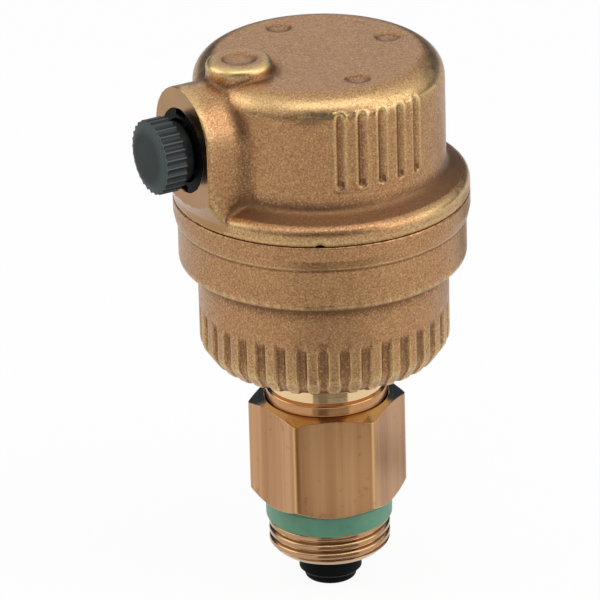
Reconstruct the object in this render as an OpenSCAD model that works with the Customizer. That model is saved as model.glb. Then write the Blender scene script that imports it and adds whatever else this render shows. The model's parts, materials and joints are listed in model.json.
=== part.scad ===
// Automatic air release valve with a side outlet and a screw-on check valve.
// Frame: +Z up along the thread axis, side outlet towards -X.
// The origin lies on the axis at the lower face of the green sealing ring,
// where the ring meets the fitting that the valve is screwed into.

/* [Inlet thread] */
// Major diameter of the inlet thread and of the neck thread
thread_d = 16.66; // [16.4:0.02:16.8]
// Exposed length of the inlet thread
thread_len = 4.7; // [4.4:0.1:6]
// Height of the sealing ring
ring_h = 3.2; // [3:0.1:4]
// Diameter of the sealing ring at its upper edge
ring_top_d = 17.4; // [17.2:0.1:18]
// Diameter of the sealing ring at its lower edge
ring_low_d = 17; // [16.9:0.1:17.2]

/* [Check valve] */
// Hexagon width across flats
hex_af = 18.8; // [18.8:0.1:20.5]
// Hexagon height
hex_h = 14.8; // [14.5:0.1:16]
// Turns of the neck that close the shutter
close_turns = 2; // [1.6:0.1:2]
// Pitch of the neck thread
pitch = 1.337; // [1:0.001:1.337]
// Diameter of the shutter's rubber ring
seal_d = 8.6; // [8:0.1:9]
// Height of the shutter's rubber ring
seal_h = 2; // [1.6:0.1:2.4]
// Height of the shutter's nose below its rubber ring
nose_h = 1.8; // [1.2:0.1:2]
// Wire diameter of the shutter spring
wire_d = 0.7; // [0.5:0.05:0.8]
// Number of coils of the shutter spring
coils = 5; // [4:1:6]

/* [Vent body] */
// Height of neck that shows between hexagon and cup
neck_gap = 6.1; // [5.6:0.1:7]
// Cup diameter
cup_d = 34; // [33.8:0.1:35]
// Cup height
cup_h = 14.2; // [13.8:0.1:16]
// Radius round the cup's bottom edge
cup_round = 3.7; // [3:0.1:4]
// Depth of the facing cut across the cup's rounded edge
facing_cut = 0.22; // [0.1:0.02:0.3]
// Number of flutes round the cup
flute_n = 36; // [24:2:40]
// Flute width
flute_w = 1.4; // [1:0.1:1.6]
// Flute depth
flute_depth = 0.65; // [0.4:0.05:0.8]
// Flute height above the cup's bottom
flute_h = 8.4; // [6:0.1:10]
// Diameter of the lower band
band_d = 39; // [38.8:0.1:39.6]
// Height of the lower band
band_h = 6.6; // [6.4:0.1:8]
// Diameter of the upper band and of the cover's flange
rim_d = 40.1; // [40:0.1:41]
// Height of the upper band
rim_h = 3.2; // [2.8:0.1:4]
// Wall thickness of cup and dome
wall = 2.4; // [2.2:0.1:2.6]

/* [Cover] */
// Height of the cover's flange at its rounded edge
flange_h = 2.8; // [2.4:0.1:3.2]
// Radius round the flange's upper edge
flange_round = 1.35; // [1:0.05:1.6]
// Slope of the flange's upper side, in degrees
flange_slope = 28; // [14:1:30]
// Width of the prying notch under the flange
pry_w = 1.2; // [0.8:0.1:2]
// Dome diameter
dome_d = 33.8; // [33.6:0.1:34.4]
// Height of the cover above the parting plane
cover_h = 19.8; // [19.6:0.1:21]
// Radius round the dome's shoulder
dome_round = 3.5; // [2.6:0.1:4]
// Number of grip flutes in each group
grip_n = 5; // [3:1:7]
// Grip flute width
grip_w = 1.4; // [1:0.1:1.6]
// Grip flute height
grip_h = 11; // [8:0.1:11.5]
// Angle between grip flutes
grip_step = 10; // [9:0.5:12]
// Grip flute depth
grip_depth = 0.6; // [0.4:0.05:0.8]
// Diameter of the raised pad above the outlet
pad_d = 9; // [8:0.1:9.2]
// Height of the raised pad
pad_h = 1.8; // [1.2:0.1:2.2]

/* [Side outlet] */
// Distance of the machined boss face from the axis
boss_face = 21; // [20.8:0.1:22]
// Boss width
boss_w = 14.3; // [14:0.1:15]
// Height of the outlet axis above the parting plane
outlet_h = 10.4; // [10.2:0.1:11]
// Diameter of the nozzle insert
nozzle_d = 11.5; // [11.2:0.1:11.8]
// Diameter of the nozzle's threaded spigot
spigot_d = 6; // [5.6:0.1:6.2]
// Screw cap diameter
cap_d = 10.2; // [10:0.1:10.6]
// Length of the cap's knurled head
cap_len = 3.5; // [3.4:0.1:4.2]
// Radius round the cap's front edge
cap_round = 0.9; // [0.5:0.1:1]
// Number of knurls on the cap
knurl_n = 28; // [20:1:32]
// Free gap behind the cap's seal in the stored, open position
cap_open = 0.7; // [0.5:0.05:0.9]

/* [Float and lever] */
// Float diameter
float_d = 26.8; // [25:0.1:27.2]
// Float height
float_h = 20; // [18:0.1:20.4]
// Wall thickness of the float
float_wall = 1.2; // [1:0.1:1.4]
// Travel of the float
float_stroke = 3.3; // [2.8:0.1:3.3]
// Length of the lever from its pivot to the float's hanger
lever_len = 10; // [9.6:0.1:10.4]
// Distance from the lever's pivot up to the outlet axis
lever_rise = 4.6; // [4.5:0.1:4.8]

/* [Hidden] */
$fn = 64;
eps = 0.01;
run = 0.07;
shut = 0.03;

thread_r = thread_d / 2;
hex_r = hex_af / 2 / cos(30);
hex_turn = 36;
hex_slope = 25;
cup_r = cup_d / 2;
band_r = band_d / 2;
rim_r = rim_d / 2;
dome_r = dome_d / 2;
seal_r = seal_d / 2;
cap_r = cap_d / 2;
nozzle_r = nozzle_d / 2;
spigot_r = spigot_d / 2;
float_r = float_d / 2;

// heights, from the sealing ring upwards
z_hex = ring_h;
z_hex_top = z_hex + hex_h;
z_cup = z_hex_top + neck_gap;
z_band = z_cup + cup_h;
z_rim = z_band + band_h;
z_part = z_rim + rim_h;
z_top = z_part + cover_h;
z_out = z_part + outlet_h;

// check valve
lift = pitch * close_turns;
z_end = -thread_len;
z_seat = z_end + 1.6;
z_lip = z_seat + 1.5;
lip_r = seal_r - 1;
z_seal = z_seat - shut - lift;
seal_w = 1.7;
spring_bore_r = 5.6;
spring_mean_r = 4.4;
z_smooth = z_hex + 3.1;
z_star = z_smooth + 0.3;
star_h = 1.4;
star_r = 6.6;
star_collar = 1.3;
smooth_r = 7;
z_neck = z_star + star_h;
z_female = z_neck + 1.2 + lift;
ring_bore_r = 7.2;
stem_r = 1.6;
pin_r = 1.4;

// neck and chamber
neck_spigot_r = smooth_r - 0.2;
neck_bore_r = 4.7;
neck_plain_r = thread_r - 0.43;
z_plain = z_hex_top + 1.8;
neck_ring_r = 0.5;
neck_groove = 2 * neck_ring_r + 0.1;
neck_groove_r = smooth_r - neck_groove;
z_neck_ring = z_neck + 1.1;
facing_turn = 35;
chamber_r = cup_r - wall;
z_floor = z_cup + 2.6;
spigot_bore_r = band_r - 1.5;
cover_spigot_r = spigot_bore_r - run;
z_shoulder = z_band + 3;
cover_ring_r = 0.8;
z_cover_spigot = z_shoulder + 2 * cover_ring_r;
cover_ring_mean_r = spigot_bore_r - cover_ring_r - 0.2;

// cover and boss
dome_inner_r = dome_r - wall + 0.1;
z_ceiling = z_top - wall;
boss_r = boss_w / 2;
z_boss = min(z_out + 1.6, z_top - boss_r - 0.3);
boss_valley = 2.2;
turned_h = 1.4;
pry_h = 0.4;
pry_depth = 0.5;
pry_turn = -120;
pad_x = dome_r - 4.9;
grip_low = 6.8;
mark_r = 1.6;
mark_x = dome_r - 6.2;
mark_depth = 0.25;

// side outlet, as distances from the main axis
plug_in = boss_face - 5.2;
recess_r = 4.4;
recess_in = boss_face - 1.5;
spigot_end = boss_face + 3;
inner_r = 3.5;
inner_end = 11.5;
orifice_r = 0.9;
outlet_ring_r = 0.5;
outlet_ring_d = boss_face - 3;
disc_h = 0.8;
cap_floor = spigot_end + cap_open + disc_h;
cap_front = cap_floor + 0.8;
cap_back = cap_front - cap_len;
sleeve_r = recess_r - 0.3;
sleeve_back = cap_back - 1.5;

// float and lever
lever_turn = float_stroke / lever_len * 180 / PI;
pivot_x = inner_end - 1.5;
z_pivot = z_out - lever_rise;
bore_clear = 0.05;
hinge_r = 0.6;
lever_w = 2.8;
arm_t = 1.4;
hang_x = lever_len - pivot_x;
z_tongue = z_pivot - lever_len * sin(lever_turn / 2);
z_float = z_floor;
z_float_top = z_float + float_h;
guide_r = chamber_r - 0.35;
slot_h = arm_t + 0.8;
hang_w = 7.4;
hang_t = 2;
hang_plate = 1.2;
hang_foot = 6;

// Plane section of a turned step, from height a to height b
module step2d(r, a, b) {
    translate([0, a])
        square([r, b - a]);
}

// Plane section cut away to round the upper outer corner at [r, z]
module round_top2d(r, z, f) {
    translate([r - f, z - f])
        difference() {
            square(f + 1);
            circle(f);
        }
}

// Plane section cut away to round the lower outer corner at [r, z]
module round_low2d(r, z, f) {
    translate([r - f, z + f])
        mirror([0, 1])
            difference() {
                square(f + 1);
                circle(f);
            }
}

// Plane section that fills the inner corner at [r, z], up (1) or down (-1)
module cove2d(r, z, f, up) {
    translate([r - eps, z - up * eps])
        scale([1, up])
            difference() {
                square(f);
                translate([f, f])
                    circle(f);
            }
}

// Full turn of a plane section
module turn(sides = 96) {
    rotate_extrude($fn = sides)
        children();
}

// Frame with its Z axis out along the side outlet
module on_outlet() {
    translate([0, 0, z_out])
        rotate([0, -90, 0])
            children();
}

// Frame of a plane that faces the side outlet, extruded towards it
module facing_outlet() {
    rotate([90, 0, -90])
        children();
}

// Ring of round wire
module o_ring(mean_r, wire_r, z) {
    translate([0, 0, z])
        rotate_extrude($fn = 96)
            translate([mean_r, 0])
                circle(wire_r, $fn = 24);
}

// Section of the turned hexagon, with its corners taken off above and below
module hex_blank2d() {
    crown = hex_af / 2 - 0.4;
    foot = hex_af / 2 - 0.1;
    drop = (hex_r - crown) * tan(hex_slope);
    rise = (hex_r - foot) * tan(40);
    polygon([[0, z_hex], [foot, z_hex], [hex_r + eps, z_hex + rise],
        [hex_r + eps, z_hex_top - drop], [crown, z_hex_top], [0, z_hex_top]]);
}

module check_valve_body() {
    color("#b0804e")
        difference() {
            union() {
                intersection() {
                    translate([0, 0, z_hex])
                        rotate(hex_turn)
                            cylinder(r = hex_r, h = hex_h, $fn = 6);
                    turn()
                        hex_blank2d();
                }
                turn() {
                    step2d(ring_bore_r, -eps, z_hex + eps);
                    polygon([[0, z_end], [thread_r - 1, z_end], [thread_r, z_end + 1],
                        [thread_r, 0], [0, 0]]);
                }
            }
            turn() {
                step2d(seal_r + 0.25, z_end - 1, z_seat);
                step2d(lip_r, z_seat - 1, z_lip + 1);
                step2d(spring_bore_r, z_lip, z_smooth + 1);
                step2d(smooth_r, z_smooth, z_female + 1);
                step2d(thread_r + run, z_female, z_hex_top + 1);
                polygon([[0, z_hex_top - 0.4], [thread_r + run, z_hex_top - 0.4],
                    [thread_r + run + 0.4, z_hex_top + 0.05], [0, z_hex_top + 0.05]]);
            }
        }
}

module sealing_ring() {
    color("#5f9a7c")
        turn()
            difference() {
                polygon([[ring_bore_r, 0], [ring_low_d / 2, 0], [ring_top_d / 2, z_hex - 0.4],
                    [ring_top_d / 2 - 0.2, z_hex], [ring_bore_r, z_hex]]);
            }
}

// Height of the coil's centre line after a given turn, with closed ends
function coil_z(t, n, h) = t < 1 ? wire_d * t
    : t > n - 1 ? h - wire_d * (n - t)
    : wire_d + (h - 2 * wire_d) * (t - 1) / (n - 2);

module coil_spring(mean_r, n, h) {
    steps = 24;
    sides = 8;
    count = n * steps + 1;
    points = [for (i = [0:count - 1]) for (j = [0:sides - 1])
        let (a = 360 * i / steps, b = 360 * j / sides, r = mean_r + wire_d / 2 * cos(b))
        [r * cos(a), r * sin(a), coil_z(i / steps, n, h) + wire_d / 2 * sin(b)]];
    walls = [for (i = [0:count - 2]) for (j = [0:sides - 1])
        let (k = (j + 1) % sides)
        [i * sides + j, i * sides + k, (i + 1) * sides + k, (i + 1) * sides + j]];
    first = [for (j = [sides - 1:-1:0]) j];
    last = [for (j = [0:sides - 1]) (count - 1) * sides + j];
    polyhedron(points, concat(walls, [first], [last]), convexity = 8);
}

module check_spring() {
    gap = 0.02;
    color("#b9bdc0")
        translate([0, 0, z_lip + wire_d / 2 + gap])
            coil_spring(spring_mean_r, coils, z_star - z_lip - wire_d - 2 * gap);
}

module shutter_stem() {
    z_low = z_seal - seal_h;
    fin_top = z_star - star_collar;
    color("#26292b")
        union() {
            turn(64)
                difference() {
                    union() {
                        step2d(seal_r - 0.75, z_low - nose_h, z_low - 0.5);
                        step2d(seal_r, z_low - 0.6, z_low);
                        step2d(seal_r - seal_w, z_low - eps, z_seal + eps);
                        step2d(stem_r, z_seal, fin_top + eps);
                        step2d(pin_r, fin_top, z_star + star_h - 0.8);
                        step2d(pin_r + 0.3, z_star + star_h - 0.8, z_star + star_h - 0.2);
                    }
                    round_low2d(seal_r - 0.75, z_low - nose_h, 0.5);
                    translate([seal_r, z_low - 0.6])
                        rotate(45)
                            square(0.5, center = true);
                }
            intersection() {
                for (a = [0, 90])
                    rotate(a)
                        translate([-lip_r, -0.5, z_seal])
                            cube([2 * lip_r, 1, fin_top - z_seal]);
                translate([0, 0, z_seal])
                    cylinder(r = lip_r - 0.12, h = fin_top - z_seal);
            }
        }
}

module shutter_seal() {
    color("#1b1c1d")
        turn(64)
            difference() {
                translate([seal_r - seal_w, z_seal - seal_h])
                    square([seal_w, seal_h]);
                round_top2d(seal_r, z_seal, 0.5);
            }
}

module spring_cap() {
    color("#e4e2da")
        difference() {
            union() {
                translate([0, 0, z_star])
                    cylinder(r = star_r, h = star_h);
                translate([0, 0, z_star - star_collar])
                    cylinder(r = spring_mean_r - wire_d, h = star_collar + eps);
            }
            for (a = [0:90:270])
                rotate(a + 45)
                    translate([3.9, -1.9, z_star - 1])
                        cube([4, 3.8, star_h + 2]);
            translate([0, 0, z_star - 2])
                cylinder(r = pin_r, h = 6);
            translate([0, 0, z_star + star_h - 0.8])
                cylinder(r = pin_r + 0.3, h = 2);
        }
}

// Outer section of the cup, drawn in by an even amount
module cup2d(inset) {
    difference() {
        step2d(cup_r - inset, z_cup + inset, z_band + 1);
        round_low2d(cup_r - inset, z_cup + inset, cup_round - inset);
    }
}

// Section outside the facing cut across the cup's rounded edge
module facing2d() {
    translate([cup_r - cup_round, z_cup + cup_round])
        rotate(-facing_turn)
            translate([cup_round - facing_cut, -cup_round])
                square([2, 2 * cup_round]);
}

module body_outer2d() {
    step2d(neck_spigot_r, z_neck, z_female + 0.5);
    step2d(thread_r, z_female + 0.4, z_plain);
    step2d(neck_plain_r, z_plain - eps, z_cup + 1);
    difference() {
        cup2d(0);
        facing2d();
    }
    difference() {
        step2d(band_r, z_band, z_rim + eps);
        round_low2d(band_r, z_band, 1.6);
    }
    cove2d(cup_r, z_band, 0.9, -1);
    polygon([[0, z_rim - 0.2], [band_r, z_rim - 0.2], [rim_r, z_rim + 1.2], [rim_r, z_part], [0, z_part]]);
}

module body_bore2d() {
    step2d(neck_bore_r, z_neck - 1, z_floor + 1);
    difference() {
        step2d(chamber_r, z_floor, z_shoulder + 1);
        round_low2d(chamber_r, z_floor, 0.6);
    }
    step2d(spigot_bore_r, z_shoulder, z_part + 1);
}

module vent_body() {
    color("#b98d57")
        difference() {
            turn(144)
                difference() {
                    body_outer2d();
                    body_bore2d();
                    translate([neck_groove_r, z_neck_ring - neck_groove / 2])
                        square([2, neck_groove]);
                }
            intersection() {
                turn(144)
                    difference() {
                        translate([0, z_cup - 1])
                            square([cup_r + 1, flute_h + 1]);
                        cup2d(flute_depth);
                    }
                for (i = [0:flute_n - 1])
                    rotate(i * 360 / flute_n)
                        translate([cup_r - cup_round, -flute_w / 2, z_cup - 0.5])
                            cube([cup_round + flute_w, flute_w, flute_h + 1]);
            }
        }
}

module neck_seal() {
    color("#202224")
        o_ring(smooth_r - 0.02 - neck_ring_r, neck_ring_r, z_neck_ring);
}

// Flange with a round edge and a sloping top that runs into the dome in a hollow
module flange2d() {
    hollow = 1.2;
    bead = [rim_r - flange_round, z_part + flange_h - flange_round];
    normal = [sin(flange_slope), cos(flange_slope)];
    tip = bead + flange_round * normal;
    foot = [dome_r - eps, tip.y + (tip.x - dome_r) * tan(flange_slope)];
    mid = [foot.x + hollow, foot.y + hollow * (1 / cos(flange_slope) - tan(flange_slope))];
    polygon([[0, z_part], [rim_r, z_part], [rim_r, bead.y], bead, tip, foot, [0, foot.y]]);
    translate(bead)
        circle(flange_round);
    difference() {
        polygon([[foot.x, mid.y], foot - [0, eps], mid - (hollow + eps) * normal, mid]);
        translate(mid)
            circle(hollow);
    }
}

module cover_outer2d() {
    flange2d();
    difference() {
        step2d(dome_r, z_part, z_top);
        round_top2d(dome_r, z_top, dome_round);
    }
    step2d(cover_spigot_r, z_cover_spigot, z_part + eps);
}

module cover_bore2d() {
    step2d(cover_ring_mean_r - cover_ring_r - 0.4, z_cover_spigot - 1, z_part + 1.4);
    difference() {
        step2d(dome_inner_r, z_part, z_ceiling);
        round_top2d(dome_inner_r, z_ceiling, 1.6);
    }
}

// Boss with a round top and a hollow fillet towards the dome
module boss() {
    base = dome_inner_r + 0.5;
    foot = dome_r - 0.3;
    facing_outlet()
        translate([0, 0, base])
            linear_extrude(boss_face - base)
                union() {
                    translate([0, z_boss])
                        circle(boss_r);
                    translate([-boss_r, z_part])
                        square([boss_w, z_boss - z_part]);
                }
    translate([0, 0, z_boss])
        rotate([0, -90, 0])
            intersection() {
                turn()
                    valley2d(base, foot);
                translate([0, -25, 0])
                    cube(50);
            }
    for (side = [-1, 1])
        scale([1, side, 1])
            translate([0, 0, z_part])
                linear_extrude(z_boss - z_part)
                    rotate(90)
                        valley2d(base, foot);
}

// Section of the hollow fillet: sideways distance against distance from the axis
module valley2d(base, foot) {
    difference() {
        translate([boss_r - 2, base])
            square([2 + boss_valley, foot - base]);
        translate([boss_r + boss_valley, foot])
            circle(boss_valley);
    }
}

// Grip flute with round ends, cut inwards along -Y
module grip_flute() {
    translate([0, -dome_r + grip_depth, z_part + grip_low + grip_h / 2])
        rotate([90, 0, 0])
            linear_extrude(3)
                union() {
                    square([grip_w, grip_h - grip_w], center = true);
                    for (side = [-1, 1])
                        translate([0, side * (grip_h - grip_w) / 2])
                            circle(grip_w / 2, $fn = 32);
                }
}

// Ring of metal that the flange's turning removes from the foot of the boss
module turned_foot() {
    turn()
        polygon([[rim_r, z_part - 1], [rim_r, z_part + turned_h], [rim_r + 3, z_part + turned_h + 5],
            [rim_r + 6, z_part + turned_h + 5], [rim_r + 6, z_part - 1]]);
}

module cover() {
    color("#bd915a")
        difference() {
            union() {
                turn(144)
                    cover_outer2d();
                difference() {
                    boss();
                    turned_foot();
                }
                translate([-pad_x, 0, 0])
                    turn(64)
                        difference() {
                            step2d(pad_d / 2, z_ceiling + 0.5, z_top + pad_h);
                            round_top2d(pad_d / 2, z_top + pad_h, 0.9);
                        }
            }
            turn(144)
                cover_bore2d();
            on_outlet()
                turn(64) {
                    step2d(nozzle_r, plug_in, boss_face + 1);
                    step2d(inner_r, plug_in - 6, plug_in + 1);
                }
            for (side = [0, 180])
                for (i = [0:grip_n - 1])
                    rotate(side + (i - (grip_n - 1) / 2) * grip_step)
                        grip_flute();
            rotate(pry_turn)
                translate([rim_r, 0, z_part])
                    cube([2 * pry_depth, pry_w, 2 * pry_h], center = true);
            translate([-pad_x, 0, z_top + pad_h - mark_depth])
                cylinder(r = pad_d / 4, h = 1);
            for (a = [-90, 0, 90])
                rotate(a)
                    translate([mark_x, 0, z_top - mark_depth])
                        cylinder(r = mark_r, h = 1);
        }
}

module cover_seal() {
    color("#202224")
        o_ring(cover_ring_mean_r, cover_ring_r, z_shoulder + cover_ring_r);
}

module nozzle() {
    color("#1d2022")
        on_outlet()
            difference() {
                turn(64)
                    difference() {
                        union() {
                            step2d(nozzle_r, plug_in, boss_face);
                            step2d(spigot_r, plug_in, spigot_end);
                            step2d(inner_r, inner_end, plug_in + eps);
                        }
                        translate([spigot_r, recess_in])
                            square([recess_r - spigot_r, 3]);
                        translate([nozzle_r - 2 * outlet_ring_r, outlet_ring_d - outlet_ring_r - 0.05])
                            square([2, 2 * outlet_ring_r + 0.1]);
                        step2d(orifice_r, inner_end - 1, spigot_end + 1);
                        translate([1.9, inner_end - 1])
                            square([3, 1.5]);
                    }
                for (side = [-1, 1])
                    translate([side * (nozzle_r + 0.1), 0, boss_face])
                        cube([2.2, 2.6, 2], center = true);
            }
}

module nozzle_seal() {
    color("#202224")
        on_outlet()
            o_ring(nozzle_r - outlet_ring_r, outlet_ring_r, outlet_ring_d);
}

module lever_bracket() {
    ring_d = inner_end + 0.7;
    ring_w = 1.1;
    cheek_in = lever_w / 2 + 0.2;
    cheek_t = 1.2;
    cheek_end = 1.1;
    cheek_low = z_pivot - cheek_end;
    reach = ring_d + ring_w - pivot_x + cheek_end;
    color("#ddd9cc")
        difference() {
            union() {
                on_outlet()
                    translate([0, 0, ring_d])
                        cylinder(r = inner_r + 1, h = ring_w);
                for (side = [-1, 1])
                    translate([-ring_d - ring_w, side * (cheek_in + cheek_t / 2) - cheek_t / 2, cheek_low])
                        cube([reach, cheek_t, z_out - cheek_low - inner_r + 0.2]);
            }
            on_outlet()
                cylinder(r = inner_r, h = 30);
            translate([-pivot_x, 0, z_pivot])
                rotate([90, 0, 0])
                    cylinder(r = hinge_r, h = 20, center = true, $fn = 32);
        }
}

module lever_pin() {
    color("#c3c6c8")
        translate([-pivot_x, 0, z_pivot])
            rotate([90, 0, 0])
                cylinder(r = hinge_r, h = lever_w + 3.2, center = true, $fn = 32);
}

module cap_seal() {
    color("#2a2b2c")
        on_outlet()
            translate([0, 0, cap_floor - disc_h])
                cylinder(r = spigot_r - 0.1, h = disc_h);
}

module vent_cap() {
    color("#41494a")
        on_outlet()
            difference() {
                turn(64)
                    difference() {
                        union() {
                            difference() {
                                step2d(cap_r, cap_back, cap_front);
                                round_top2d(cap_r, cap_front, cap_round);
                            }
                            step2d(sleeve_r, sleeve_back, cap_back + eps);
                        }
                        step2d(spigot_r + bore_clear, sleeve_back - 1, cap_floor);
                    }
                for (i = [0:knurl_n - 1])
                    rotate(i * 360 / knurl_n)
                        translate([cap_r + 0.1, 0, cap_back + 0.35])
                            cylinder(r = 0.42, h = cap_len - 1, $fn = 16);
            }
}

module float_shell() {
    notch = 4;
    color("#e9e6dc")
        difference() {
            union() {
                turn()
                    difference() {
                        step2d(float_r, z_float, z_float_top);
                        round_top2d(float_r, z_float_top, 1.5);
                    }
                for (i = [0:5])
                    rotate(i * 60 + 30)
                        translate([float_r - 0.5, -0.4, z_float + 1.5])
                            cube([guide_r - float_r + 0.5, 0.8, float_h - 4]);
            }
            turn()
                difference() {
                    step2d(float_r - float_wall, z_float - 1, z_float_top - float_wall);
                    round_top2d(float_r - float_wall, z_float_top - float_wall, 0.8);
                }
            for (a = [0:90:270])
                rotate(a)
                    translate([float_r - notch / 2, -notch / 2, z_float - notch / 4])
                        cube([notch, notch, notch / 2]);
        }
}

module float_base() {
    color("#dedacd")
        translate([0, 0, z_float + float_wall])
            cylinder(r = float_r - float_wall, h = float_wall);
}

module float_hanger() {
    tall = z_tongue + slot_h / 2 + hang_plate - z_float_top;
    color("#d6d2c4")
        translate([hang_x, 0, z_float_top])
            difference() {
                union() {
                    translate([-hang_t / 2, -hang_w / 2, 0])
                        cube([hang_t, hang_w, tall]);
                    translate([-hang_foot / 2, -hang_w / 2, 0])
                        cube([hang_foot, hang_w, hang_plate]);
                }
                translate([0, 0, z_tongue - z_float_top])
                    cube([8, lever_w + 0.6, slot_h], center = true);
            }
}

// Lever in its closed position, with the pivot at the origin
module lever_shape() {
    arm_w = 2.4;
    difference() {
        union() {
            rotate([90, 0, 0])
                cylinder(r = 1.35, h = lever_w, center = true, $fn = 32);
            translate([-0.7, -lever_w / 2, 0])
                cube([1.4, lever_w, lever_rise + 1.7]);
            rotate([0, -lever_turn / 2, 0])
                translate([0, -arm_w / 2, -arm_t / 2])
                    cube([lever_len + 2, arm_w, arm_t]);
        }
        rotate([90, 0, 0])
            cylinder(r = hinge_r + bore_clear, h = 20, center = true, $fn = 32);
    }
}

// Stored pose of the lever: float down, outlet open
module lever_pose() {
    translate([-pivot_x, 0, z_pivot])
        rotate([0, lever_turn, 0])
            children();
}

module lever() {
    color("#d9d4c3")
        lever_pose()
            lever_shape();
}

module obturator() {
    color("#8a4436")
        lever_pose()
            translate([-0.7, 0, lever_rise])
                rotate([0, -90, 0])
                    cylinder(r = 1.55, h = 0.8 - shut, $fn = 48);
}

check_valve_body();
sealing_ring();
check_spring();
shutter_stem();
shutter_seal();
spring_cap();
vent_body();
neck_seal();
cover();
cover_seal();
nozzle();
nozzle_seal();
lever_bracket();
lever_pin();
cap_seal();
vent_cap();
float_shell();
float_base();
float_hanger();
lever();
obturator();
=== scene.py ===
import json
import math

import bmesh
import bpy
import numpy as np
from mathutils import Matrix, Vector


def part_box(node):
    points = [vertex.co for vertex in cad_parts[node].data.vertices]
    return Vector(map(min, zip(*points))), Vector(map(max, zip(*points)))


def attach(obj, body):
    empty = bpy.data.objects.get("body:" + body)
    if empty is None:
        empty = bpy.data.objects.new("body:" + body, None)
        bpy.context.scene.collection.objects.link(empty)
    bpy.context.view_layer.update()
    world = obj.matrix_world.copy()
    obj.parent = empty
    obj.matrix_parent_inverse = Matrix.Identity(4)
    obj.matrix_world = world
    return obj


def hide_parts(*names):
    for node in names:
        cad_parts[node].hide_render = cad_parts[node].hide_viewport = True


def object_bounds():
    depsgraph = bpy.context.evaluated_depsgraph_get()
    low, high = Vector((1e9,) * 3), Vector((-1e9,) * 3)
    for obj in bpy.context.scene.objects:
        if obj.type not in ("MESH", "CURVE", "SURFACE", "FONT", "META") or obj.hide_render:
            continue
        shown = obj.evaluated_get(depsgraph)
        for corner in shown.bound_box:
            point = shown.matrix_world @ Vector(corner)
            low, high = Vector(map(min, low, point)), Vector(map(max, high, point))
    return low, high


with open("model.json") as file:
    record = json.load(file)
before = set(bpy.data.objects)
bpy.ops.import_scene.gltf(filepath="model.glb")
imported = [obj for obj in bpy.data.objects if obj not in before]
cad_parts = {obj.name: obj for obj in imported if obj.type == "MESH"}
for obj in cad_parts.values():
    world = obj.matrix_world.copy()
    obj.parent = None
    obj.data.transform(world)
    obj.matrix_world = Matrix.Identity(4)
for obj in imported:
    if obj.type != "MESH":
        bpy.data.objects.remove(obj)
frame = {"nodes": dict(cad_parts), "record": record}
cad_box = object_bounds()

# Sizes and places in millimetres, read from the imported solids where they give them
MM = 0.001


def ends_of(node, axis):
    """Lowest and highest place of a solid along an axis (0, 1 or 2), in millimetres."""
    low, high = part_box(node)
    return round(low[axis] / MM, 3), round(high[axis] / MM, 3)


# Threads of the neck and the inlet
PITCH, THREAD_DEPTH, THREAD_R = 1.337, 0.55, 8.33

# Hexagon of the check valve, with its chamfers and corners
Z_END, Z_HEX_TOP = ends_of("check_valve_body", 2)
Z_HEX = ends_of("sealing_ring", 2)[1]
HEX_AF, HEX_TURN, HEX_COLUMNS = 18.8, 36, 480
HEX_CROWN, CROWN_SLOPE = 9.0, math.radians(25)
HEX_FOOT, FOOT_CHAMFER_SLOPE = 9.3, math.radians(40)
HEX_CORNER_CUT, HEX_CORNER_ROUND = 0.1, 0.24
CHAMFER_SKIN, CHAMFER_ROUND = 0.03, 0.06

# Bores of the check valve from the top down, and the undercut that holds the sealing ring
FEMALE_R, Z_FEMALE = 8.4, 11.874
LIP_W, LIP_H = 0.12, 0.15
PLAIN_BORE_R, Z_PLAIN_BORE = 7.0, 6.3
SPRING_BORE_R, Z_SPRING_SEAT = 5.6, -1.6
WATERWAY_R = 3.3
SEAT_R, Z_SEAT = 4.55, Z_END + 1.6
UNDERCUT_R, Z_THREAD_TOP = 7.2, -0.02
RING_FOOT_R, RING_R, RING_TOP_R = 8.65, 8.72, 8.5
Z_RING_TAPER, Z_RING_TOP = 2.8, Z_HEX - 0.02

# Neck of the vent, from its sealed end up to the cup
Z_NECK, Z_PART = ends_of("vent_body", 2)
NECK_R, NECK_BORE_R, NECK_END_R = 7.9, 4.7, 6.8
GROOVE_R, Z_GROOVE, Z_GROOVE_TOP = 5.9, Z_NECK + 0.55, Z_NECK + 1.65
RUNOUT_R, Z_RUNOUT = 7.5, Z_FEMALE + 0.4
Z_THREAD_LOW, Z_PLAIN = Z_FEMALE + 1.2, Z_HEX_TOP + 1.8
Z_THREAD_HIGH = Z_PLAIN - 0.35

# Cup with its band and rim
RIM_R = ends_of("vent_body", 0)[1]
RIM_SEAT_R = RIM_R - 0.6
Z_CUP = Z_HEX_TOP + 6.1
Z_BAND = Z_CUP + 14.2
Z_RIM = Z_PART - 3.2
CUP_R, CUP_ROUND, CUP_BORE_R, Z_CUP_FLOOR = 17.0, 3.7, 14.6, Z_CUP + 2.6
BAND_R, BAND_STEP, LEDGE_R, Z_LEDGE = 19.5, 0.28, 18.0, Z_BAND + 3
FACING_CUT, FACING_TURN = 0.22, math.radians(35)

# Flutes of the cup: grid in shares of half a flute's width, flat floor and sides, and where they run out
FLUTES, FLUTE_W, FLUTE_DEPTH, FLUTE_TOP = 36, 1.4, 0.42, Z_CUP + 8.4
FLUTE_GRID = (0, 0.4, 0.66, 0.8, 0.92, 1.04, 1.18, 1.4, 1.75)
FLUTE_FLOOR, FLUTE_SIDE = 0.4, 0.88
FLUTE_FADE_LOW, FLUTE_FADE_HIGH = FLUTE_TOP - 1.8, FLUTE_TOP + 0.5
FLUTE_END_R, FLUTE_FULL_R = 13.0, 16.4

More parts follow.
